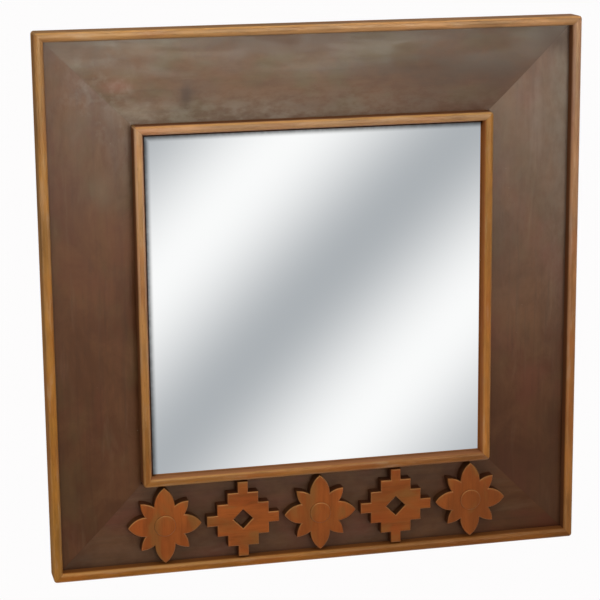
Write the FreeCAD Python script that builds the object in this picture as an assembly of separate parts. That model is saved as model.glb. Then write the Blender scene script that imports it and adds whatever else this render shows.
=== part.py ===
import FreeCAD, Part
import math
import os

from FreeCAD import Vector

# Wooden wall mirror, hung on two rings.
# X runs to the viewer's right, Z up, and the front faces -Y.
# The origin is the middle of the back, where the mirror lies against the wall.
# "Forward" is the distance in front of the wall and "inward" the distance from the outer edge.

# Overall size
frame_width = 600.0
frame_height = 600.0

# Outer rim strips
rim_width = 10.4
rim_depth = 28.0
rim_outer_round = 3.2
rim_inner_round = 5.0
rim_corner_round = 3.6

# Dark boards
panel_width = 90.6
panel_below_rim = 12.5
panel_fall = 3.5
panel_crown = 2.0
back_recess = 5.0

# Inner rim strips
bead_width = 10.0
bead_above_rim = 2.0
bead_lip = 11.0
bead_leg = 4.0
bead_round = 4.0
bead_corner_round = 4.5

# Glass and what holds it
glass_thickness = 4.0
glass_bevel_width = 8.0
glass_bevel_depth = 2.0
glass_play = 0.4
backer_thickness = 3.0
strip_width = 8.0

# Back cover
cover_overlap = 13.4
cover_screw_inset = 7.0
cover_screw_length = 11.0
cover_screw_end = 150.0
cover_screws_per_side = 3

# Corner splines of the dark boards
spline_length = 50.0
spline_reach = 14.0
spline_thickness = 3.0
spline_play = 0.1

# Brads
pin_radius = 0.8
pin_play = 0.05
rim_pin_sunk = 2.5
rim_pin_length = 22.0
rim_pin_end = 70.0
rim_pins_per_side = 3
strip_pin_length = 20.0
strip_pin_end = 230.0
strip_pins_per_side = 2

# Countersunk wood screws
screw_radius = 1.5
screw_head_radius = 3.0
screw_head_height = 1.7
screw_tip = 2.5
screw_play = 0.1
recess_length = 3.4
recess_width = 0.8
recess_depth = 1.1

# Raised ornaments in a row on the bottom board
ornament_count = 5
ornament_row_inset = 83.0
ornament_spacing = 6.0
ornament_gap = 2.0
ornament_rise = 12.0
ornament_round = 1.6
ornament_screw_spread = 24.0
ornament_screw_length = 18.0
petal_half_width = 11.5
small_petal_length = 38.0
small_petal_half_width = 8.0
boss_radius = 12.0
boss_rise = 1.6
boss_round = 1.5
lozenge_steps = 4
lozenge_window_reach = 11.0

# Hangers
hanger_drop = 118.0
strap_width = 11.0
strap_thickness = 1.0
strap_length = 46.0
strap_hole_first = 27.0
strap_hole_spacing = 13.0
eye_play = 0.1
eye_slit = 0.4
ring_wire = 2.5
ring_width = 24.0
ring_drop = 18.0
ring_corner = 3.0
ring_lift = 0.3
hanger_screw_grip = 9.0
pan_head_radius = 3.2
pan_head_height = 2.0
pan_head_round = 1.3

# Levels and widths that follow
bead_inset = rim_width + panel_width
sight_inset = bead_inset + bead_width
rebate_inset = bead_inset + bead_leg
panel_outer_level = rim_depth - panel_below_rim
panel_inner_level = panel_outer_level - panel_fall
panel_crest_level = (panel_outer_level + panel_inner_level) / 2 + panel_crown
bead_level = rim_depth + bead_above_rim
rebate_level = bead_level - bead_lip
glass_inset = rebate_inset + glass_play
bevel_slope = glass_bevel_depth / glass_bevel_width
glass_level = rebate_level + glass_bevel_depth - bevel_slope * (sight_inset - glass_inset)
glass_back_level = glass_level - glass_thickness
strip_level = glass_back_level - backer_thickness
pin_level = (back_recess + panel_inner_level) / 2
cover_inset = bead_inset - cover_overlap
ornament_pitch = (frame_width - 2 * ornament_row_inset + ornament_spacing) / ornament_count
ornament_width = ornament_pitch - ornament_spacing

SIDES = {"top": 0, "right": 90, "bottom": 180, "left": 270}
ALONG_Y = Vector(0, 1, 0)


def is_upright(side):
    return side in ("left", "right")


def side_length(side):
    return frame_height if is_upright(side) else frame_width


def side_reach(side):
    return (frame_width if is_upright(side) else frame_height) / 2


def at(along, inward, forward, side):
    """A point by its place along a side, its inset and its level, on the side named."""
    point = Vector(along, -forward, side_reach(side) - inward)
    turn = FreeCAD.Rotation(ALONG_Y, SIDES[side])
    return turn.multVec(point)


def face_of(edges):
    return Part.Face(Part.Wire(Part.__sortEdges__(edges)))


def outline(points):
    return Part.Face(Part.makePolygon(points + points[:1]))


def slab(inset, back, front):
    """A rectangular sheet, inset alike on all four sides."""
    width = frame_width - 2 * inset
    height = frame_height - 2 * inset
    return Part.makeBox(width, front - back, height, Vector(-width / 2, -front, -height / 2))


def front_edges(solid, front):
    return [e for e in solid.Edges if e.BoundBox.YMax < -front + 1e-6]


def softened_slab(inset, corner_round, edge_round, back, front):
    """The same sheet with its corners rounded, and its front edge rounded all the way round."""
    sheet = slab(inset, back, front)
    corners = [e for e in sheet.Edges if e.tangentAt(e.FirstParameter).isParallel(ALONG_Y, 1e-6)]
    sheet = sheet.makeFillet(corner_round, corners)
    return sheet.makeFillet(edge_round, front_edges(sheet, front))


def rod(radius, start, end):
    return Part.makeCylinder(radius, (end - start).Length, start, end - start)


def union(solids):
    joined = solids[0].fuse(solids[1:]) if len(solids) > 1 else solids[0]
    return joined.removeSplitter()


def bored(solid, bores):
    """The solid less those bores that reach it."""
    near = [b for b in bores if b.BoundBox.intersect(solid.BoundBox)]
    return solid.cut(near) if near else solid


# Profiles are drawn across the top side: inward from the outer edge, forward from the wall.
def profile_point(inward, forward):
    return Vector(0, -forward, -inward)


def line(a, b):
    return Part.LineSegment(profile_point(*a), profile_point(*b)).toShape()


def arc(a, middle, b):
    return Part.Arc(profile_point(*a), profile_point(*middle), profile_point(*b)).toShape()


def round_over(inward, forward, radius):
    """The rounded inner front edge of a strip, from its front face to its side face."""
    bulge = radius * (1 - math.sqrt(0.5))
    return (inward - radius, forward), (inward - bulge, forward - bulge), (inward, forward - radius)


def rim_profile():
    inner = round_over(rim_width, rim_depth, rim_inner_round)
    return face_of([
        line((0, 0), (0, rim_depth)),
        line((0, rim_depth), inner[0]),
        arc(*inner),
        line(inner[2], (rim_width, 0)),
        line((rim_width, 0), (0, 0)),
    ])


def panel_profile():
    outer = (rim_width, panel_outer_level)
    crest = (rim_width + panel_width / 2, panel_crest_level)
    inner = (bead_inset, panel_inner_level)
    return face_of([
        line((rim_width, back_recess), outer),
        arc(outer, crest, inner),
        line(inner, (bead_inset, back_recess)),
        line((bead_inset, back_recess), (rim_width, back_recess)),
    ])


def bead_profile():
    inner = round_over(sight_inset, bead_level, bead_round)
    return face_of([
        line((bead_inset, back_recess), (bead_inset, bead_level)),
        line((bead_inset, bead_level), inner[0]),
        arc(*inner),
        line(inner[2], (sight_inset, rebate_level)),
        line((sight_inset, rebate_level), (rebate_inset, rebate_level)),
        line((rebate_inset, rebate_level), (rebate_inset, back_recess)),
        line((rebate_inset, back_recess), (bead_inset, back_recess)),
    ])


def strip_profile():
    inner = rebate_inset + strip_width
    return face_of([
        line((rebate_inset, back_recess), (rebate_inset, strip_level)),
        line((rebate_inset, strip_level), (inner, strip_level)),
        line((inner, strip_level), (inner, back_recess)),
        line((inner, back_recess), (rebate_inset, back_recess)),
    ])


def mitred_bar(profile, side):
    """One side of a frame: its profile drawn along the side and cut at 45 degrees at both ends."""
    length = side_length(side)
    reach = side_reach(side)
    inset = max(sight_inset, rebate_inset + strip_width)
    bar = profile.copy()
    bar.translate(Vector(-length / 2, 0, reach))
    bar = bar.extrude(Vector(length, 0, 0))
    mitre = outline([
        Vector(-length / 2, 0, reach),
        Vector(length / 2, 0, reach),
        Vector(length / 2 - inset, 0, reach - inset),
        Vector(-length / 2 + inset, 0, reach - inset),
    ]).extrude(Vector(0, -bead_level, 0))
    bar = bar.common(mitre)
    bar.rotate(Vector(), ALONG_Y, SIDES[side])
    return bar


def mitred_frame(profile):
    return {side: mitred_bar(profile, side) for side in SIDES}


def spread(count, length):
    """Places evenly along a length, from one end of it to the other."""
    return [length * (i / (count - 1) - 0.5) for i in range(count)]


def rim_pins(play=0.0):
    start = rim_pin_sunk - play
    end = rim_pin_sunk + rim_pin_length + play
    level = (back_recess + panel_outer_level) / 2
    return [
        rod(pin_radius + play, at(s, start, level, side), at(s, end, level, side))
        for side in SIDES
        for s in spread(rim_pins_per_side, side_length(side) - 2 * rim_pin_end)
    ]


def strip_pins(play=0.0):
    start = rebate_inset + strip_width
    end = start - strip_pin_length - play
    return [
        rod(pin_radius + play, at(s, start, pin_level, side), at(s, end, pin_level, side))
        for side in SIDES
        for s in spread(strip_pins_per_side, side_length(side) - 2 * strip_pin_end)
    ]


def corner_splines(play=0.0):
    """Flat keys set across the mitres, halfway along each joint."""
    middle = rim_width + panel_width / 2
    level = (back_recess + panel_crest_level) / 2
    long = spline_length + 2 * play
    wide = 2 * (spline_reach + play)
    thick = spline_thickness + 2 * play
    keys = []
    for x_sign in (-1, 1):
        for z_sign in (-1, 1):
            key = Part.makeBox(long, thick, wide, Vector(-long / 2, -thick / 2, -wide / 2))
            key.rotate(Vector(), ALONG_Y, -45 * x_sign * z_sign)
            key.translate(Vector(x_sign * (frame_width / 2 - middle), -level,
                                 z_sign * (frame_height / 2 - middle)))
            keys.append(key)
    return keys


def turned(points):
    """A solid turned about a line along Y: points are a radius and a distance forward."""
    section = outline([Vector(radius, -forward, 0) for radius, forward in points])
    return section.revolve(Vector(), ALONG_Y, 360)


def cross_recess(back):
    """Two crossed slots for the driver, cut from the level of the screw head's back."""
    return [
        Part.makeBox(width, recess_depth, height, Vector(-width / 2, back - recess_depth, -height / 2))
        for width, height in ((recess_length, recess_width), (recess_width, recess_length))
    ]


def countersunk_screw(length, play=0.0):
    """A screw driven forward, its flat head level with the surface behind it."""
    screw = turned([
        (0, 0),
        (screw_head_radius + play, 0),
        (screw_radius + play, screw_head_height + play),
        (screw_radius + play, length - screw_tip + play),
        (0, length + play),
    ])
    return screw if play else screw.cut(cross_recess(0))


def pan_head_screw(play=0.0):
    """A hanger screw: its head lies on the strap and its shank goes into the board."""
    length = strap_thickness + hanger_screw_grip
    head = Part.makeCylinder(pan_head_radius, pan_head_height, Vector(), ALONG_Y)
    back_rim = [e for e in head.Edges if e.BoundBox.YMin > pan_head_height - 1e-6]
    head = head.makeFillet(pan_head_round, back_rim)
    shank = turned([
        (0, 0),
        (screw_radius + play, 0),
        (screw_radius + play, length - screw_tip + play),
        (0, length + play),
    ])
    screw = union([head, shank])
    return screw if play else screw.cut(cross_recess(pan_head_height))


def cover_screw_places():
    inset = bead_inset - cover_screw_inset
    return [
        at(s, inset, 0, side)
        for side in SIDES
        for s in spread(cover_screws_per_side, side_length(side) - 2 * cover_screw_end)
    ]


def cover_screws(play=0.0):
    screw = countersunk_screw(cover_screw_length, play)
    return [screw.translated(place) for place in cover_screw_places()]


def bevelled_glass():
    """A sheet with a wide slope along its front edges, by which it lies against the lip."""
    foot_level = glass_level - glass_bevel_depth
    half_width = frame_width / 2 - glass_inset
    half_height = frame_height / 2 - glass_inset
    flat_width = half_width - glass_bevel_width
    flat_height = half_height - glass_bevel_width
    slope = Part.makeWedge(
        -flat_width, -glass_level, -flat_height, -half_height, -half_width,
        flat_width, -foot_level, flat_height, half_height, half_width,
    )
    return union([slab(glass_inset, glass_back_level, foot_level), slope])


# Ornaments
def ornament_places():
    z = rim_width + panel_width / 2 - frame_height / 2
    return [Vector(x, 0, z) for x in spread(ornament_count, ornament_pitch * (ornament_count - 1))]


def ornament_height():
    return panel_width - 2 * ornament_gap


def ornament_level():
    return panel_crest_level + ornament_rise


def ornament_screws(play=0.0):
    screw = countersunk_screw(ornament_screw_length, play)
    return [
        screw.translated(place + Vector(0, -back_recess, rise))
        for place in ornament_places()
        for rise in (-ornament_screw_spread, ornament_screw_spread)
    ]


def raised(face, rounding):
    """A flat-cut piece standing on the board, with its front edges rounded."""
    front = ornament_level()
    piece = face.extrude(Vector(0, -front, 0))
    return piece.makeFillet(rounding, front_edges(piece, front))


def petal(length, half_width, turn):
    """A pointed leaf from the middle of the rosette outwards."""
    tip = Vector(0, 0, length)
    sides = [
        Part.Arc(Vector(), Vector(sign * half_width, 0, length / 2), tip).toShape()
        for sign in (-1, 1)
    ]
    leaf = raised(face_of(sides), ornament_round)
    leaf.rotate(Vector(), ALONG_Y, turn)
    return leaf


def rosette():
    """Four long leaves and four short ones round a low boss."""
    tall = ornament_height() / 2
    wide = ornament_width / 2
    leaves = [petal(tall, petal_half_width, turn) for turn in (0, 180)]
    leaves += [petal(wide, petal_half_width, turn) for turn in (90, 270)]
    leaves += [petal(small_petal_length, small_petal_half_width, turn) for turn in (45, 135, 225, 315)]
    boss_level = ornament_level() + boss_rise
    boss = Part.makeCylinder(boss_radius, boss_level, Vector(), -ALONG_Y)
    boss = boss.makeFillet(boss_round, front_edges(boss, boss_level))
    return union(leaves + [boss])


def lozenge():
    """A diamond with stepped sides and a diamond window."""
    wide_step = ornament_width / (4 * lozenge_steps - 2)
    tall_step = ornament_height() / (4 * lozenge_steps - 2)
    quarter = []
    for i in range(lozenge_steps):
        out = 2 * (lozenge_steps - i) - 1
        up = 2 * i + 1
        quarter += [(wide_step * out, tall_step * (up - 2)), (wide_step * out, tall_step * up)]
    quarter = quarter[1:]
    corners = quarter + [(-x, z) for x, z in reversed(quarter)]
    corners += [(-x, -z) for x, z in quarter] + [(x, -z) for x, z in reversed(quarter)]
    plate = outline([Vector(x, 0, z) for x, z in corners])
    window = outline([
        Vector(lozenge_window_reach, 0, 0),
        Vector(0, 0, lozenge_window_reach),
        Vector(-lozenge_window_reach, 0, 0),
        Vector(0, 0, -lozenge_window_reach),
    ])
    return raised(plate.cut(window).Faces[0], ornament_round)


# Hangers
def hanger_axis_level():
    """How far in front of the wall the ring's straight bar lies."""
    return back_recess - strap_thickness - ring_lift - ring_wire / 2


def hanger_place(x_sign):
    x = frame_width / 2 - rim_width - panel_width / 2
    return Vector(x_sign * x, 0, frame_height / 2 - hanger_drop)


def hanger_screw_drops():
    return [strap_hole_first, strap_hole_first + strap_hole_spacing]


def hanger_screws(play=0.0):
    screw = pan_head_screw(play)
    return [
        screw.translated(hanger_place(x_sign) + Vector(0, strap_thickness - back_recess, -drop))
        for x_sign in (-1, 1)
        for drop in hanger_screw_drops()
    ]


def hanger_strap():
    """A flat strap with a round foot, two holes and an eye rolled round the ring's bar."""
    half = strap_width / 2
    back = strap_thickness - back_recess
    straight = strap_length - half
    head_left = Vector(-half, back, 0)
    head_right = Vector(half, back, 0)
    foot_left = Vector(-half, back, -straight)
    foot_right = Vector(half, back, -straight)
    plate = face_of([
        Part.LineSegment(head_left, head_right).toShape(),
        Part.LineSegment(head_right, foot_right).toShape(),
        Part.Arc(foot_right, Vector(0, back, -strap_length), foot_left).toShape(),
        Part.LineSegment(foot_left, head_left).toShape(),
    ]).extrude(Vector(0, -strap_thickness, 0))
    centre = Vector(-half, -hanger_axis_level(), 0)
    along = Vector(1, 0, 0)
    bore = ring_wire / 2 + eye_play
    eye = Part.makeCylinder(bore + strap_thickness, strap_width, centre, along)
    hollow = Part.makeCylinder(bore, strap_width, centre, along)
    slit = Part.makeBox(strap_width, eye_slit, 2 * bore, centre + Vector(0, -bore, -2 * bore))
    holes = [
        rod(screw_radius + screw_play, Vector(0, back, -drop), Vector(0, -back_recess, -drop))
        for drop in hanger_screw_drops()
    ]
    return union([plate, eye]).cut([hollow, slit] + holes)


def hanger_ring():
    """A D-shaped ring of round wire, hanging from its straight bar."""
    level = -hanger_axis_level()
    half = (ring_width - ring_wire) / 2
    bend = ring_corner
    nook = bend * (1 - math.sqrt(0.5))
    shoulder = half - ring_drop
    bar_end = half - bend

    def spot(x, z):
        return Vector(x, level, z)

    path = Part.Wire([
        Part.LineSegment(spot(-bar_end, 0), spot(bar_end, 0)).toShape(),
        Part.Arc(spot(bar_end, 0), spot(half - nook, -nook), spot(half, -bend)).toShape(),
        Part.LineSegment(spot(half, -bend), spot(half, shoulder)).toShape(),
        Part.Arc(spot(half, shoulder), spot(0, -ring_drop), spot(-half, shoulder)).toShape(),
        Part.LineSegment(spot(-half, shoulder), spot(-half, -bend)).toShape(),
        Part.Arc(spot(-half, -bend), spot(nook - half, -nook), spot(-bar_end, 0)).toShape(),
    ])
    section = Part.Wire(Part.makeCircle(ring_wire / 2, spot(-bar_end, 0), Vector(1, 0, 0)))
    return path.makePipeShell([section], True, True)


def build():
    """Every piece by its name."""
    pieces = {}
    rims = mitred_frame(rim_profile())
    panels = mitred_frame(panel_profile())
    beads = mitred_frame(bead_profile())
    strips = mitred_frame(strip_profile())
    soft_rim = softened_slab(0, rim_corner_round, rim_outer_round, 0, rim_depth)
    soft_bead = softened_slab(bead_inset, bead_corner_round, bead_round, back_recess, bead_level)
    bores = rim_pins(pin_play) + strip_pins(pin_play) + corner_splines(spline_play)
    bores += cover_screws(screw_play) + ornament_screws(screw_play) + hanger_screws(screw_play)

    for side in SIDES:
        pieces["outer_rim_" + side] = bored(rims[side].common(soft_rim), rim_pins(pin_play))
        pieces["panel_board_" + side] = bored(panels[side], bores)
        pieces["inner_rim_" + side] = bored(beads[side].common(soft_bead), strip_pins(pin_play))
        pieces["glazing_strip_" + side] = bored(strips[side], strip_pins(pin_play))

    pieces["mirror_glass"] = bevelled_glass()
    pieces["glass_backer"] = slab(glass_inset, strip_level, glass_back_level)
    pieces["back_cover"] = bored(slab(cover_inset, 0, back_recess), cover_screws(screw_play))
    pieces["back_cover_screws"] = Part.makeCompound(cover_screws())
    pieces["corner_splines"] = Part.makeCompound(corner_splines())
    pieces["rim_pins"] = Part.makeCompound(rim_pins())
    pieces["strip_pins"] = Part.makeCompound(strip_pins())

    seats = [panels[side] for side in SIDES] + ornament_screws(screw_play)
    behind = slab(0, 0, back_recess)
    motifs = [rosette(), lozenge()]
    for i, place in enumerate(ornament_places()):
        motif = motifs[i % 2].translated(place)
        pieces["ornament_%d" % (i + 1)] = bored(motif, seats + [behind])
    pieces["ornament_screws"] = Part.makeCompound(ornament_screws())

    for name, x_sign in (("left", -1), ("right", 1)):
        pieces["hanger_strap_" + name] = hanger_strap().translated(hanger_place(x_sign))
        pieces["hanger_ring_" + name] = hanger_ring().translated(hanger_place(x_sign))
    pieces["hanger_screws"] = Part.makeCompound(hanger_screws())
    return pieces


os.makedirs("parts", exist_ok=True)
for name, shape in build().items():
    shape.exportStep("parts/%s.step" % name)
    print(name, len(shape.Solids), "solids", round(shape.Volume, 1), "mm3", shape.isValid())
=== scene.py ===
"""Looks of the wooden wall mirror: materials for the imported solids, camera, light and floor.

The part hangs with its back at y = 0 and faces -y. Lengths are metres.
"""

import math

import bpy
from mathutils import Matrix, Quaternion, Vector

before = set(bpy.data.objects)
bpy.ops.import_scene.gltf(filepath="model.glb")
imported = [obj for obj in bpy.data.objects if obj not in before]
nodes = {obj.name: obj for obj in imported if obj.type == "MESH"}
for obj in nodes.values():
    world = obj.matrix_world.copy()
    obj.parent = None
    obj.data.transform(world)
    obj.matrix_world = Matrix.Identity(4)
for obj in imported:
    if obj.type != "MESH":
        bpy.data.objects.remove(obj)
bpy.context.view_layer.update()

across = (1.0, 0.0, 0.0)
upwards = (0.0, 0.0, 1.0)
front_way = (0.0, -1.0, 0.0)
back_way = (0.0, 1.0, 0.0)
no_shift = (0.0, 0.0, 0.0)
way_of_grain = {"X": across, "Z": upwards}
sides = ("top", "right", "bottom", "left")
grain_of_side = {"top": "X", "bottom": "X", "left": "Z", "right": "Z"}
inward_of_side = {
    "top": (0.0, 0.0, -1.0),
    "bottom": (0.0, 0.0, 1.0),
    "left": (1.0, 0.0, 0.0),
    "right": (-1.0, 0.0, 0.0),
}

camera_place = Vector((-0.51994, -2.14555, 0.49797))
camera_aim = Vector((-0.01437, 0.0, -0.00537))
camera_roll = math.radians(-0.587)
image_width = 600
focal_pixels = 2045.6


def linear(red, green, blue):
    """An 8-bit display colour as the linear RGBA that shader sockets take."""
    def channel(level):
        level = level / 255.0
        if level <= 0.04045:
            return level / 12.92
        return ((level + 0.055) / 1.055) ** 2.4
    return (channel(red), channel(green), channel(blue), 1.0)


def scaled(colour, shares):
    """The colour with a share of its own for red, green and blue."""
    return tuple(share * level for share, level in zip(shares, colour)) + (1.0,)


def shaded(colour, share):
    return scaled(colour, (share, share, share))


def wood_tones(tone):
    """Pale, deep and reddish colours of one piece of wood, round its middle tone."""
    return shaded(tone, 1.20), shaded(tone, 0.76), scaled(tone, (0.92, 0.68, 0.62))


def along_grain(grain, stretch):
    """Scale that shortens one axis, so that noise draws streaks along it."""
    return tuple(1.0 / stretch if axis == grain else 1.0 for axis in "XYZ")


class NodeTree:
    """A node tree built up one node at a time."""

    def __init__(self, tree):
        self.tree = tree

    def add(self, kind, inputs=None, **settings):
        made = self.tree.nodes.new("ShaderNode" + kind)
        for setting, value in settings.items():
            setattr(made, setting, value)
        for socket, value in (inputs or {}).items():
            self.feed(made.inputs[socket], value)
        return made

    def feed(self, socket, value):
        if isinstance(value, bpy.types.NodeSocket):
            self.tree.links.new(value, socket)
        else:
            socket.default_value = value

    def math(self, operation, first, second=0.0, third=0.0):
        return self.add("Math", {0: first, 1: second, 2: third}, operation=operation).outputs[0]

    def vector(self, operation, first, second):
        return self.add("VectorMath", {0: first, 1: second}, operation=operation).outputs[0]

    def dot(self, first, second):
        made = self.add("VectorMath", {0: first, 1: second}, operation="DOT_PRODUCT")
        return made.outputs["Value"]

    def smooth(self, value, low, high, start=0.0, end=1.0):
        """A soft step from start to end while the value goes from low to high."""
        sockets = {"Value": value, "From Min": low, "From Max": high, "To Min": start, "To Max": end}
        return self.add("MapRange", sockets, interpolation_type="SMOOTHSTEP").outputs["Result"]

    def blend(self, share, first, second, mode="MIX"):
        made = self.add("Mix", data_type="RGBA", blend_type=mode)
        self.feed(made.inputs[0], share)
        self.feed(made.inputs[6], first)
        self.feed(made.inputs[7], second)
        return made.outputs[2]


class Surface(NodeTree):
    """A material with one surface shader."""

    def __init__(self, name):
        self.material = bpy.data.materials.new(name)
        self.material.use_nodes = True
        super().__init__(self.material.node_tree)
        self.shader = self.tree.nodes["Principled BSDF"]
        self.spot = self.add("TexCoord").outputs["Object"]
        self.normal = self.add("NewGeometry").outputs["Normal"]

    def finish(self, **inputs):
        for socket, value in inputs.items():
            self.feed(self.shader.inputs[socket.replace("_", " ")], value)
        return self.material

    def place(self, scale=(1.0, 1.0, 1.0), shift=no_shift):
        return self.vector("MULTIPLY", self.vector("ADD", self.spot, shift), scale)

    def noise(self, place, scale, detail=3.0, roughness=0.55, distortion=0.0):
        sockets = {
            "Vector": place,
            "Scale": scale,
            "Detail": detail,
            "Roughness": roughness,
            "Distortion": distortion,
        }
        return self.add("TexNoise", sockets).outputs["Fac"]

    def streaks(self, grain, stretch, scale, shift=no_shift, **more):
        """Noise drawn out along the grain."""
        return self.noise(self.place(along_grain(grain, stretch), shift), scale, **more)

    def tint(self, colour, mask, strength, other):
        """The colour, with the other one laid over it where the mask is 1."""
        return self.blend(self.math("MULTIPLY", mask, strength), colour, other)

    def layer(self, colour, value, low, high, strength, other):
        """The colour, with the other one laid over it softly as the value goes from low to high."""
        return self.blend(self.smooth(value, low, high, 0.0, strength), colour, other)

    def facing(self, direction):
        """1 where the surface faces that way, 0 across it."""
        return self.dot(self.normal, direction)

    def axis(self, name):
        return self.add("SeparateXYZ", {0: self.spot}).outputs[name]

    def reach(self, name):
        """Distance from the middle of the part along one axis."""
        return self.math("ABSOLUTE", self.axis(name))

    def reach_out(self):
        """Distance from the middle of the square frame towards its nearest side."""
        return self.math("MAXIMUM", self.reach("X"), self.reach("Z"))

    def mitre(self):
        """1 on the diagonal joint lines of the square frame."""
        half_width = 0.0002
        off = self.math("ABSOLUTE", self.math("SUBTRACT", self.reach("X"), self.reach("Z")))
        return self.smooth(off, half_width, 2.5 * half_width, 1.0, 0.0)

    def patch(self, centre, half_size, ragged):
        """1 in a soft ragged oval round a point on the front, 0 outside it."""
        scale = (1.0 / half_size[0], 0.0, 1.0 / half_size[1])
        shift = (-centre[0], 0.0, -centre[1])
        oval = self.place(scale, shift)
        reach = self.add("VectorMath", {0: oval}, operation="LENGTH").outputs["Value"]
        return self.smooth(self.math("ADD", reach, ragged), 1.5, 0.7)

    def bump(self, height, strength, distance):
        sockets = {"Height": height, "Strength": strength, "Distance": distance}
        return self.add("Bump", sockets).outputs["Normal"]


def bare_wood(surface, grain, shift=no_shift):
    """Colour of sawn wood without stain."""
    broad = surface.streaks(grain, 9.0, 42.0, shift, distortion=0.4)
    ring = surface.streaks(grain, 26.0, 210.0, shift, distortion=0.3)
    fine = surface.streaks(grain, 30.0, 1100.0, shift)
    early_wood = linear(208, 172, 124)
    colour = surface.layer(early_wood, broad, 0.36, 0.66, 1.0, linear(192, 150, 102))
    colour = surface.layer(colour, ring, 0.46, 0.66, 0.55, linear(170, 124, 78))
    return surface.layer(colour, fine, 0.45, 0.75, 0.45, linear(146, 104, 64))


rubbed_tone = linear(206, 156, 102)
# Tone of the painted highlight on up-facing shoulders.
painted_highlight_tone = linear(224, 164, 92)
chalky_tone = linear(196, 172, 144)
golden_tone = linear(142, 95, 44)
dark_side_tone = linear(60, 31, 17)
rim_joint_tone = linear(90, 54, 30)


def waxed_wood(
    name,
    grain,
    tone,
    drift_and_light=None,
    darkened=None,
    wall_tone=None,
    sight=None,
    sight_tone_and_light=None,
    cut_out=False,
    shift=no_shift,
):
    """Golden brown wood, rubbed smooth and given a wax polish.

    Red, green and blue change along the grain by the factors given, which hold the wood's own tone together
    with painted sheen and shade. Sides that face the darkened way take the wall tone, dark like the boards'
    finish, and those that face the sight way the sight tone; where these tones differ by side they carry
    painted light. All sides of a cut-out piece are dark, and a cut-out piece gets a painted shade towards
    its lower right. Edges are rubbed paler, up-facing shoulders carry a painted highlight, and the back is
    raw. Only what faces forward is polished.
    """
    surface = Surface(name)
    pale, deep, red = wood_tones(tone)
    broad = surface.streaks(grain, 4.0, 52.0, shift, roughness=0.5)
    warm = surface.streaks(grain, 3.0, 30.0, shift, detail=2.0)
    streak = surface.streaks(grain, 24.0, 420.0, shift, detail=4.0, roughness=0.6, distortion=0.3)
    fibre = surface.streaks(grain, 40.0, 1700.0, shift, detail=2.0)
    pore = surface.streaks(grain, 9.0, 950.0, shift, detail=2.0)
    worn = surface.streaks(grain, 6.0, 130.0, shift, detail=4.0, roughness=0.65)
    front = surface.facing(front_way)
    up = surface.facing(upwards)

    colour = surface.layer(pale, broad, 0.34, 0.66, 1.0, deep)
    colour = surface.layer(colour, warm, 0.46, 0.68, 0.7, red)
    colour = surface.layer(colour, streak, 0.44, 0.72, 0.28, shaded(deep, 0.45))
    colour = surface.layer(colour, fibre, 0.45, 0.75, 0.2, pale)
    colour = surface.layer(colour, pore, 0.64, 0.75, 0.4, shaded(deep, 0.35))
    rubbed = surface.math("MULTIPLY", surface.smooth(front, 0.35, 0.75), surface.smooth(front, 0.995, 0.9))
    rubbed = surface.math("MULTIPLY", rubbed, surface.smooth(broad, 0.3, 0.6))
    colour = surface.tint(colour, rubbed, 0.28, rubbed_tone)
    # Painted highlight: up-facing shoulders of the roundings are tinted paler, where light from above would
    # catch them.
    painted_highlight = surface.math("MULTIPLY", surface.smooth(up, 0.2, 0.55), surface.smooth(up, 0.97, 0.8))
    colour = surface.tint(colour, painted_highlight, 0.45, painted_highlight_tone)
    # Tone along the grain, holding painted sheen and shade as well as the wood's own colour.
    if drift_and_light:
        along = surface.dot(surface.spot, way_of_grain[grain])
        colour = surface.blend(surface.smooth(along, -0.2, 0.2), colour, drift_and_light + (1.0,), "MULTIPLY")
    colour = surface.layer(colour, worn, 0.48, 0.28, 0.45, shaded(deep, 0.55))
    if cut_out:
        # Painted shade: a cut-out piece gets darker towards its lower right.
        low = surface.dot(surface.spot, (1.0, 0.0, -1.0))
        colour = surface.layer(colour, low, 0.0, 0.55, 0.42, shaded(deep, 0.8))
        golden = surface.streaks(grain, 2.5, 48.0, shift, roughness=0.5, distortion=0.6)
        colour = surface.layer(colour, golden, 0.46, 0.66, 0.6, golden_tone)
        colour = surface.layer(colour, front, 0.45, 0.10, 0.88, dark_side_tone)
    else:
        colour = surface.layer(colour, worn, 0.52, 0.72, 0.22, chalky_tone)
    # Walls that face the boards take the wall tone; on the outer rims it carries painted light that differs
    # by side.
    if darkened:
        colour = surface.layer(colour, surface.facing(darkened), 0.84, 0.985, 0.9, wall_tone)
    # Walls that face the glass take the sight tone, a darker sight edge with painted light by side.
    if sight:
        colour = surface.layer(colour, surface.facing(sight), 0.55, 0.95, 0.75, sight_tone_and_light)
    colour = surface.tint(colour, surface.mitre(), 0.25, rim_joint_tone)
    colour = surface.layer(colour, front, -0.7, -0.9, 1.0, bare_wood(surface, grain, shift))

    height = surface.math("ADD", streak, surface.math("MULTIPLY", fibre, 0.5))
    height = surface.math("SUBTRACT", height, surface.smooth(pore, 0.60, 0.74))
    polished = surface.smooth(streak, 0.3, 0.7, 0.21, 0.34)
    return surface.finish(
        Base_Color=colour,
        Roughness=surface.math("MAXIMUM", polished, surface.smooth(front, 0.5, 0.05, 0.3, 0.9)),
        Normal=surface.bump(height, strength=0.16, distance=0.0003),
        Specular_IOR_Level=0.30,
        Specular_Tint=(1.0, 0.80, 0.52, 1.0),
    )


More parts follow.
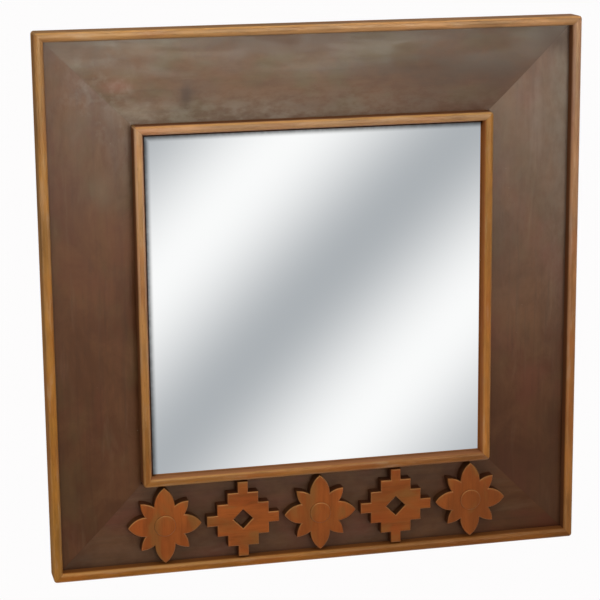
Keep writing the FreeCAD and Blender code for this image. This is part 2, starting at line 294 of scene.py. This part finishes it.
# Single marks on the dark boards: centre, half size, strength and tone. Some are the boards' own marks;
# others stand in for light, the darker ones along the top board's outer edge and right half as painted
# shade, the paler ones at its top-left as painted sheen.
board_marks_and_light = (
    ((-0.1950, 0.2790), (0.060, 0.014), 0.30, linear(150, 128, 104)),
    ((-0.2080, 0.2450), (0.044, 0.022), 0.50, linear(112, 86, 50)),
    ((-0.2140, 0.2415), (0.036, 0.016), 0.80, linear(124, 74, 55)),
    ((-0.1402, 0.2278), (0.015, 0.023), 0.75, linear(64, 39, 25)),
    ((-0.0200, 0.2800), (0.190, 0.026), 0.75, linear(80, 41, 18)),
    ((0.0000, 0.2120), (0.060, 0.022), 0.35, linear(80, 43, 21)),
    ((0.1400, 0.2500), (0.190, 0.034), 0.60, linear(60, 37, 23)),
    ((0.2000, 0.2450), (0.060, 0.034), 0.30, linear(60, 36, 22)),
    ((0.2700, 0.2760), (0.050, 0.030), 0.75, linear(62, 34, 18)),
    ((-0.1900, 0.2120), (0.060, 0.022), 0.24, linear(168, 152, 130)),
    ((-0.2330, 0.1300), (0.022, 0.040), 0.30, linear(134, 118, 92)),
)
board_tone = linear(87, 50, 24)
pale_board_tone = linear(105, 65, 36)
red_board_tone = linear(106, 56, 36)
olive_board_tone = linear(92, 70, 38)
wipe_tone = linear(128, 98, 72)
streak_tone = linear(62, 35, 19)
speck_tone = linear(150, 130, 110)
mottle_tone = linear(66, 42, 26)
# Tone of the painted sheen on the boards.
painted_sheen_tone = linear(152, 144, 128)
# Tone of the painted shade towards one end of a board.
painted_falloff_tone = linear(70, 36, 19)
wiped_tone = linear(160, 150, 136)
# Tone of the painted shade against the outer rims.
rim_shade_tone = linear(58, 33, 19)
fleck_tone = linear(170, 160, 144)
board_joint_tone = linear(56, 32, 18)

# Spans along a line from the middle of the part to the middle of a side.
# Painted sheen at a board's inner and outer edges, and the painted shade line against the outer rim.
inner_painted_sheen_span = (0.240, 0.200)
outer_painted_sheen_span = (0.250, 0.286)
rim_shade_span = (0.2862, 0.2892)


def dark_board(
    name,
    grain,
    way,
    gloss,
    sheen,
    reddish,
    olive,
    mottled,
    painted_sheen_span,
    painted_sheen_share,
    inner_painted_sheen,
    outer_painted_sheen,
    darkened,
):
    """Dark-finished board, rubbed by hand to an uneven sheen, its back left raw.

    Along the way given it takes a painted sheen, a pale greyish tint, between the two places in the painted
    sheen span, by the painted sheen share and by further shares at its inner and outer edges, and it gets
    darker as painted shade between the two places in darkened. The shares reddish and olive say how far its
    hue wanders, and mottled how uneven the painted sheen is and how strong its darker mottling.
    """
    surface = Surface(name)
    cloud = surface.streaks(grain, 1.5, 26.0, detail=5.0, roughness=0.62, distortion=0.5)
    hue = surface.streaks(grain, 1.6, 19.0, (3.0, 0.0, 1.0))
    moss = surface.streaks(grain, 1.8, 27.0, (7.0, 0.0, 4.0))
    wipe = surface.streaks(grain, 7.0, 75.0, (2.0, 0.0, 6.0), roughness=0.6, distortion=0.4)
    mottle = surface.streaks(grain, 2.0, 120.0, (5.0, 0.0, 2.0), detail=4.0, roughness=0.6)
    streak = surface.streaks(grain, 18.0, 190.0, detail=4.0, roughness=0.6, distortion=0.3)
    fibre = surface.streaks(grain, 40.0, 1300.0, detail=2.0)
    speck = surface.noise(surface.place(), 230.0, detail=1.0)
    fleck = surface.noise(surface.place(), 75.0)
    out = surface.reach_out()

    colour = surface.layer(board_tone, cloud, 0.34, 0.70, 1.0, pale_board_tone)
    colour = surface.layer(colour, hue, 0.48, 0.70, reddish, red_board_tone)
    colour = surface.layer(colour, moss, 0.44, 0.70, olive, olive_board_tone)
    colour = surface.layer(colour, wipe, 0.52, 0.78, 0.30, wipe_tone)
    colour = surface.layer(colour, streak, 0.46, 0.76, 0.30, streak_tone)
    colour = surface.layer(colour, speck, 0.80, 0.86, 0.6, speck_tone)

    # Painted sheen: a pale greyish tint where the boards catch sheen, lifted further at their inner and
    # outer edges, where shade near the rims is painted out.
    inner_sheen = surface.smooth(out, *inner_painted_sheen_span, 0.0, inner_painted_sheen)
    outer_sheen = surface.smooth(out, *outer_painted_sheen_span, 0.0, outer_painted_sheen)
    edge = surface.math("MAXIMUM", inner_sheen, outer_sheen)
    wander = 0.08
    along = surface.math("ADD", surface.dot(surface.spot, way), surface.math("MULTIPLY", cloud, wander))
    sheen_from, sheen_to = (place + 0.5 * wander for place in painted_sheen_span)
    shade_from, shade_to = (place + 0.5 * wander for place in darkened)
    sheen_along = surface.smooth(along, sheen_from, sheen_to)
    share = surface.math("MULTIPLY", sheen_along, surface.math("ADD", edge, painted_sheen_share))
    uneven_sheen = surface.smooth(mottle, 0.34, 0.66, 1.0 - mottled, 1.0 + mottled)
    colour = surface.blend(surface.math("MULTIPLY", share, uneven_sheen), colour, painted_sheen_tone)
    colour = surface.layer(colour, mottle, 0.56, 0.30, 0.4 * mottled, mottle_tone)
    # Painted shade: darker towards one end of the board, between the places in darkened.
    colour = surface.layer(colour, along, shade_from, shade_to, 0.5, painted_falloff_tone)

    wiped = surface.patch((0.253, 0.185), (0.016, 0.075), surface.math("MULTIPLY", streak, 1.2))
    colour = surface.tint(colour, wiped, 0.16, wiped_tone)
    ragged = surface.math("MULTIPLY", surface.math("ADD", wipe, cloud), 0.7)
    # Marks, partly the boards' own and partly painted shade and sheen.
    for centre, half_size, strength, tone in board_marks_and_light:
        colour = surface.tint(colour, surface.patch(centre, half_size, ragged), strength, tone)
    # Painted shade: a dark line on the board right against the outer rim.
    colour = surface.tint(colour, surface.smooth(out, *rim_shade_span), 0.35, rim_shade_tone)
    corner = surface.patch((-0.228, 0.228), (0.070, 0.070), cloud)
    flecks = surface.math("MULTIPLY", surface.smooth(fleck, 0.46, 0.72), corner)
    colour = surface.tint(colour, flecks, 0.20, fleck_tone)
    colour = surface.tint(colour, surface.mitre(), 0.2, board_joint_tone)
    colour = surface.layer(colour, surface.facing(back_way), 0.7, 0.9, 1.0, bare_wood(surface, grain))

    height = surface.math("ADD", streak, surface.math("MULTIPLY", fibre, 0.6))
    height = surface.math("ADD", height, surface.math("MULTIPLY", cloud, 2.0))
    uneven = surface.math("ADD", surface.math("MULTIPLY", wipe, 0.5), surface.math("MULTIPLY", cloud, 0.5))
    return surface.finish(
        Base_Color=colour,
        Roughness=surface.smooth(uneven, 0.36, 0.64, 0.32, 0.48),
        Normal=surface.bump(height, strength=0.14, distance=0.0004),
        Specular_IOR_Level=gloss,
        Specular_Tint=sheen,
    )


def raw_wood(name, grain):
    surface = Surface(name)
    return surface.finish(Base_Color=bare_wood(surface, grain), Roughness=0.72)


def zinc_steel(name):
    """Zinc-plated steel: faint crystal flakes, yellowish passivation and drawn scratches."""
    surface = Surface(name)
    flake = surface.add("TexVoronoi", {"Vector": surface.spot, "Scale": 900.0}).outputs["Color"]
    cloud = surface.noise(surface.place(), 140.0, detail=4.0)
    scratch = surface.noise(surface.place((1.0, 1.0, 0.06)), 2600.0, detail=2.0)
    colour = surface.layer(linear(206, 207, 206), cloud, 0.35, 0.68, 1.0, linear(186, 180, 162))
    colour = surface.blend(0.08, colour, flake, "OVERLAY")
    colour = surface.layer(colour, scratch, 0.56, 0.74, 0.35, linear(138, 136, 130))
    return surface.finish(
        Base_Color=colour,
        Metallic=1.0,
        Roughness=surface.smooth(cloud, 0.3, 0.7, 0.28, 0.46),
        Normal=surface.bump(scratch, strength=0.1, distance=0.0001),
    )


def plywood(name):
    """Rotary-cut sheet: wide flame figure on the face, thin layers on the edge."""
    surface = Surface(name)
    layer_pair = 0.0025
    warp = surface.noise(surface.place((1.0, 1.0, 0.22)), 7.0, roughness=0.5, distortion=0.8)
    fine = surface.noise(surface.place((1.0, 1.0, 0.04)), 1100.0)
    blotch = surface.noise(surface.place(), 9.0)
    even_turn = surface.math("MULTIPLY", surface.axis("X"), 150.0)
    turn = surface.math("ADD", even_turn, surface.math("MULTIPLY", warp, 46.0))
    ring = surface.math("MULTIPLY_ADD", surface.math("SINE", turn), 0.5, 0.5)
    colour = surface.layer(linear(214, 182, 136), blotch, 0.35, 0.68, 1.0, linear(200, 162, 112))
    colour = surface.layer(colour, ring, 0.55, 1.0, 0.5, linear(178, 134, 84))
    colour = surface.layer(colour, fine, 0.50, 0.76, 0.45, linear(150, 108, 66))
    layer = surface.math("SINE", surface.math("MULTIPLY", surface.axis("Y"), 2.0 * math.pi / layer_pair))
    edge = surface.layer(linear(196, 156, 106), layer, -0.2, 0.2, 1.0, linear(136, 94, 56))
    flat = surface.math("ABSOLUTE", surface.facing(back_way))
    return surface.finish(
        Base_Color=surface.layer(colour, flat, 0.6, 0.4, 1.0, edge),
        Roughness=surface.smooth(fine, 0.3, 0.7, 0.58, 0.74),
        Normal=surface.bump(fine, strength=0.12, distance=0.0002),
    )


def hardboard(name):
    """Pressed fibre sheet, smooth and speckled."""
    surface = Surface(name)
    fibre = surface.noise(surface.place(), 700.0, detail=4.0, roughness=0.65, distortion=0.6)
    cloud = surface.noise(surface.place(), 18.0)
    colour = surface.layer(linear(134, 94, 58), cloud, 0.35, 0.66, 1.0, linear(112, 76, 46))
    colour = surface.layer(colour, fibre, 0.44, 0.70, 0.5, linear(82, 54, 32))
    return surface.finish(
        Base_Color=colour,
        Roughness=0.6,
        Normal=surface.bump(fibre, strength=0.15, distance=0.0002),
    )


def silvered_glass(name):
    """Mirror with a painted shadow along its edges, most at left and top, laid on as darkened silvering,
    with grey paint behind.
    """
    surface = Surface(name)
    edge_shadow_span = (0.1870, 0.1895)
    left_top_shadow_span = (0.1800, 0.1872)
    cloud = surface.noise(surface.place(), 160.0)
    to_left = surface.math("MULTIPLY", surface.axis("X"), -1.0)
    left_or_top = surface.math("MAXIMUM", to_left, surface.axis("Z"))
    # Painted shadow: a dark line round the glass, wider and darker at left and top.
    all_round = surface.smooth(surface.reach_out(), *edge_shadow_span, 0.0, 0.4)
    painted_edge_shadow = surface.math("MAXIMUM", all_round, surface.smooth(left_or_top, *left_top_shadow_span, 0.0, 0.90))
    painted_edge_shadow = surface.math("MULTIPLY", painted_edge_shadow, surface.smooth(cloud, 0.2, 0.7, 0.88, 1.0))
    colour = surface.blend(painted_edge_shadow, linear(250, 251, 251), linear(38, 37, 35))
    paint = surface.layer(linear(124, 130, 126), cloud, 0.35, 0.65, 1.0, linear(112, 117, 113))
    behind = surface.smooth(surface.facing(back_way), 0.8, 0.95)
    return surface.finish(
        Base_Color=surface.blend(behind, colour, paint),
        Metallic=surface.math("SUBTRACT", 1.0, behind),
        Roughness=surface.math("MULTIPLY", behind, 0.5),
    )


def floor_paint(name):
    """Pale paint, lifted towards the white backdrop where the camera or the mirror sees it."""
    surface = Surface(name)
    cloud = surface.noise(surface.place(), 3.0)
    path = surface.add("LightPath").outputs
    seen = surface.math("MAXIMUM", path["Is Camera Ray"], path["Is Glossy Ray"])
    return surface.finish(
        Base_Color=surface.layer(linear(238, 236, 233), cloud, 0.3, 0.7, 1.0, linear(232, 230, 226)),
        Roughness=0.8,
        Emission_Color=(1.0, 1.0, 1.0, 1.0),
        Emission_Strength=surface.math("MULTIPLY", seen, 0.38),
    )


def dress(node, material):
    mesh = nodes[node].data
    mesh.materials.clear()
    mesh.materials.append(material)


# Each rim's tone is that of its left or lower end, and its factor is the one at the other end. Both hold
# the wood's own colour together with painted light: the top pieces are paler and greyer as painted sheen
# from above, and the brightness along each rim follows painted shade and sheen.
outer_rim_tone_and_light = {
    "top": linear(159, 114, 66),
    "right": linear(173, 111, 54),
    "bottom": linear(179, 109, 37),
    "left": linear(174, 116, 46),
}
outer_rim_drift_and_light = {
    "top": (1.08, 1.06, 1.23),
    "right": (0.84, 1.08, 2.15),
    "bottom": (0.58, 0.53, 0.60),
    "left": (0.81, 0.87, 1.24),
}
# Walls of the outer rims that face the boards: dark like the boards' finish, with painted light by side,
# the up-facing bottom wall lighter and the right wall darker.
outer_rim_stain_and_light = {
    "top": linear(112, 66, 38),
    "right": linear(104, 59, 32),
    "bottom": linear(134, 80, 37),
    "left": linear(112, 66, 38),
}
inner_rim_tone_and_light = {
    "top": linear(176, 130, 90),
    "right": linear(186, 118, 52),
    "bottom": linear(183, 119, 54),
    "left": linear(167, 110, 49),
}
inner_rim_drift_and_light = {
    "top": (0.88, 0.90, 0.82),
    "right": (0.74, 0.80, 0.68),
    "bottom": (0.60, 0.53, 0.61),
    "left": (1.23, 1.58, 3.10),
}
inner_rim_stain = linear(112, 66, 38)
# Walls of the inner rims that face the glass: a darker sight edge, with painted light by side, the right
# and up-facing bottom walls lifted paler.
sight_tone_and_light_of_side = {
    "top": linear(150, 84, 40),
    "right": linear(164, 90, 38),
    "bottom": linear(174, 113, 72),
    "left": linear(150, 84, 40),
}
ornament_tone = linear(163, 83, 31)
cool_sheen = (0.97, 1.0, 0.86, 1.0)
warm_sheen = (1.0, 0.96, 0.86, 1.0)
# Per-board looks; the painted sheen shares and spans paint sheen, and the darkened spans paint shade.
board_look = {
    "top": {
        "way": across,
        "gloss": 0.30,
        "sheen": cool_sheen,
        "reddish": 0.10,
        "olive": 0.85,
        "mottled": 0.40,
        "painted_sheen_span": (0.50, -0.10),
        "painted_sheen_share": 0.06,
        "inner_painted_sheen": 0.28,
        "outer_painted_sheen": 0.0,
        "darkened": (-0.04, 0.22),
    },
    "right": {
        "way": upwards,
        "gloss": 0.22,
        "sheen": warm_sheen,
        "reddish": 0.70,
        "olive": 0.30,
        "mottled": 0.14,
        "painted_sheen_span": (-0.20, 0.24),
        "painted_sheen_share": 0.20,
        "inner_painted_sheen": 0.0,
        "outer_painted_sheen": 0.18,
        "darkened": (-0.02, -0.24),
    },
    "bottom": {
        "way": across,
        "gloss": 0.17,
        "sheen": warm_sheen,
        "reddish": 0.85,
        "olive": 0.12,
        "mottled": 0.20,
        "painted_sheen_span": (0.30, 0.05),
        "painted_sheen_share": 0.06,
        "inner_painted_sheen": 0.0,
        "outer_painted_sheen": 0.04,
        "darkened": (0.16, 0.34),
    },
    "left": {
        "way": upwards,
        "gloss": 0.245,
        "sheen": warm_sheen,
        "reddish": 0.32,
        "olive": 0.45,
        "mottled": 0.30,
        "painted_sheen_span": (0.04, 0.28),
        "painted_sheen_share": 0.09,
        "inner_painted_sheen": 0.18,
        "outer_painted_sheen": 0.0,
        "darkened": (-2.0, -3.0),
    },
}
for side in sides:
    grain = grain_of_side[side]
    inward = inward_of_side[side]
    outward = tuple(-step for step in inward)
    outer_wood = waxed_wood(
        "rim_wood_outer_" + side,
        grain,
        outer_rim_tone_and_light[side],
        drift_and_light=outer_rim_drift_and_light[side],
        darkened=inward,
        wall_tone=outer_rim_stain_and_light[side],
    )
    inner_wood = waxed_wood(
        "rim_wood_inner_" + side,
        grain,
        inner_rim_tone_and_light[side],
        drift_and_light=inner_rim_drift_and_light[side],
        darkened=outward,
        wall_tone=inner_rim_stain,
        sight=inward,
        sight_tone_and_light=sight_tone_and_light_of_side[side],
    )
    dress("outer_rim_" + side, outer_wood)
    dress("inner_rim_" + side, inner_wood)
    dress("panel_board_" + side, dark_board("dark_wood_" + side, grain, **board_look[side]))
    dress("glazing_strip_" + side, raw_wood("plain_wood_" + side, grain))

for number, grain in enumerate("ZXZXZ", 1):
    shift = (0.0, 0.37 * number, 0.0)
    material = waxed_wood("ornament_wood_%d" % number, grain, ornament_tone, cut_out=True, shift=shift)
    dress("ornament_%d" % number, material)

dress("mirror_glass", silvered_glass("mirror"))
dress("glass_backer", hardboard("hardboard"))
dress("back_cover", plywood("plywood"))
dress("corner_splines", raw_wood("plain_wood_splines", "Y"))
zinc = zinc_steel("zinc_steel")
for name in (
    "back_cover_screws",
    "ornament_screws",
    "hanger_screws",
    "rim_pins",
    "strip_pins",
    "hanger_strap_left",
    "hanger_strap_right",
    "hanger_ring_left",
    "hanger_ring_right",
):
    dress(name, zinc)

camera_data = bpy.data.cameras.new("camera")
camera_data.sensor_fit = "HORIZONTAL"
camera_data.sensor_width = 36.0
camera_data.lens = camera_data.sensor_width * focal_pixels / image_width
camera = bpy.data.objects.new("camera", camera_data)
camera.location = camera_place
camera.rotation_mode = "QUATERNION"
towards_aim = (camera_aim - camera_place).to_track_quat("-Z", "Y")
camera.rotation_quaternion = towards_aim @ Quaternion(upwards, camera_roll)
bpy.context.scene.collection.objects.link(camera)
bpy.context.scene.camera = camera

lamp_receivers = bpy.data.collections.new("lamp_receivers")
lamp_receivers.objects.link(nodes["mirror_glass"])
lamp_receivers.collection_objects[0].light_linking.link_state = "EXCLUDE"


def soft_light(name, place, aim, width, height, power, spread):
    """A large lamp that doesn't show in the mirror."""
    lamp = bpy.data.lights.new(name, "AREA")
    lamp.shape = "ELLIPSE"
    lamp.size = width
    lamp.size_y = height
    lamp.energy = power
    lamp.spread = math.radians(spread)
    made = bpy.data.objects.new(name, lamp)
    made.location = place
    made.rotation_mode = "QUATERNION"
    made.rotation_quaternion = (Vector(aim) - Vector(place)).to_track_quat("-Z", "Y")
    made.visible_camera = False
    made.light_linking.receiver_collection = lamp_receivers
    bpy.context.scene.collection.objects.link(made)


soft_light(
    "key",
    place=(0.35, -2.3, 0.28),
    aim=(-0.10, 0.0, 0.42),
    width=1.9,
    height=0.55,
    power=3.15,
    spread=46.0,
)
soft_light(
    "above",
    place=(-0.2, -1.3, 1.9),
    aim=(0.0, 0.0, 0.0),
    width=1.0,
    height=0.6,
    power=6.0,
    spread=180.0,
)
soft_light(
    "behind",
    place=(1.8, 1.9, 0.1),
    aim=(0.0, 0.0, 0.0),
    width=2.4,
    height=2.4,
    power=24.0,
    spread=180.0,
)

# The mirror shows white surroundings with grey bands, narrow ones where the camera sees them reflected and
# broad ones round them. Places and widths are counted along a diagonal of the unit sphere.
band_period = 0.1138
band_middle = 0.3167
broad_period = 0.36
broad_middle = 0.10

world = bpy.data.worlds.new("studio")
bpy.context.scene.world = world
world.use_nodes = True
studio = NodeTree(world.node_tree)
studio.tree.nodes.clear()
ray = studio.add("TexCoord").outputs["Generated"]
diagonal = studio.dot(ray, (math.sqrt(0.5), 0.0, -math.sqrt(0.5)))


def grey_band(period, middle):
    """Surroundings that swing between white and grey, greyest at the middle."""
    off = studio.math("SUBTRACT", diagonal, middle)
    wave = studio.math("COSINE", studio.math("MULTIPLY", off, 2.0 * math.pi / period))
    share = studio.math("MULTIPLY_ADD", wave, 0.5, 0.5)
    return studio.blend(share, linear(254, 254, 254), linear(176, 180, 184))


off_band = studio.math("ABSOLUTE", studio.math("SUBTRACT", diagonal, band_middle))
near_band = studio.smooth(off_band, band_period, 1.75 * band_period, 1.0, 0.0)
bands = studio.blend(near_band, grey_band(broad_period, broad_middle), grey_band(band_period, band_middle))
ahead = studio.smooth(studio.dot(ray, front_way), 0.1, 0.8)
above = studio.smooth(studio.dot(ray, upwards), -0.8, 0.8)
around = studio.blend(above, linear(96, 96, 98), linear(164, 164, 166))
mirrored = studio.blend(ahead, around, bands)
overhead = studio.smooth(above, 0.0, 1.0, 0.13, 0.46)
leftward = studio.smooth(studio.dot(ray, (-1.0, 0.0, 0.0)), 0.2, 1.0, 0.0, 0.20)
glow = studio.math("ADD", overhead, leftward)
soft = studio.add("Background", {"Color": (1.0, 1.0, 1.0, 1.0), "Strength": glow})
seen = studio.add("Background", {"Color": mirrored, "Strength": 1.0})
white = studio.add("Background", {"Color": linear(253, 252, 252), "Strength": 1.0})
path = studio.add("LightPath")
lit = studio.add("MixShader", {0: path.outputs["Is Glossy Ray"], 1: soft.outputs[0], 2: seen.outputs[0]})
view = studio.add("MixShader", {0: path.outputs["Is Camera Ray"], 1: lit.outputs[0], 2: white.outputs[0]})
studio.add("OutputWorld", {"Surface": view.outputs[0]})

floor_half = 1.8
floor_level = -1.3
floor_mesh = bpy.data.meshes.new("floor")
floor_corners = [(x * floor_half, y * floor_half, 0.0) for x, y in ((-1, -1), (1, -1), (1, 1), (-1, 1))]
floor_mesh.from_pydata(floor_corners, [], [(0, 1, 2, 3)])
floor = bpy.data.objects.new("floor", floor_mesh)
floor.location = (0.0, 0.0, floor_level)
bpy.context.scene.collection.objects.link(floor)
floor_mesh.materials.append(floor_paint("floor_paint"))

bpy.context.scene.view_settings.view_transform = "Standard"
